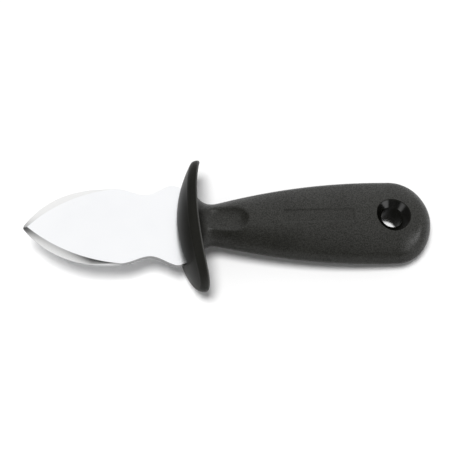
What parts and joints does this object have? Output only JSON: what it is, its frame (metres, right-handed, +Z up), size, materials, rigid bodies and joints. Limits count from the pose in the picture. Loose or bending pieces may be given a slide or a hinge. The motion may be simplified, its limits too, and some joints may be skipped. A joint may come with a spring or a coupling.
{
  "type": "oyster knife",
  "caption": "Oyster knife with a short spade-shaped ground steel blade, an oval domed hand guard and a tapered moulded grip with thumb scoops and a hanging hole",
  "frame": {"origin": "On the table, under the middle of the knife's length and width as it lies at rest on the guard's rim and the butt", "axes": "+X from the blade's tip to the butt, +Z up from the table, +Y across the guard"},
  "size_m": [0.1612, 0.0546, 0.0359],
  "materials": {
    "blade_steel": "satin, with ground bevels along both edges",
    "handle_plastic": "fine moulded grain, smoother on the guard and in the hanging hole"
  },
  "bodies": {
    "root": {"blade": "blade_steel", "handle": "handle_plastic"}
  },
  "joints": []
}
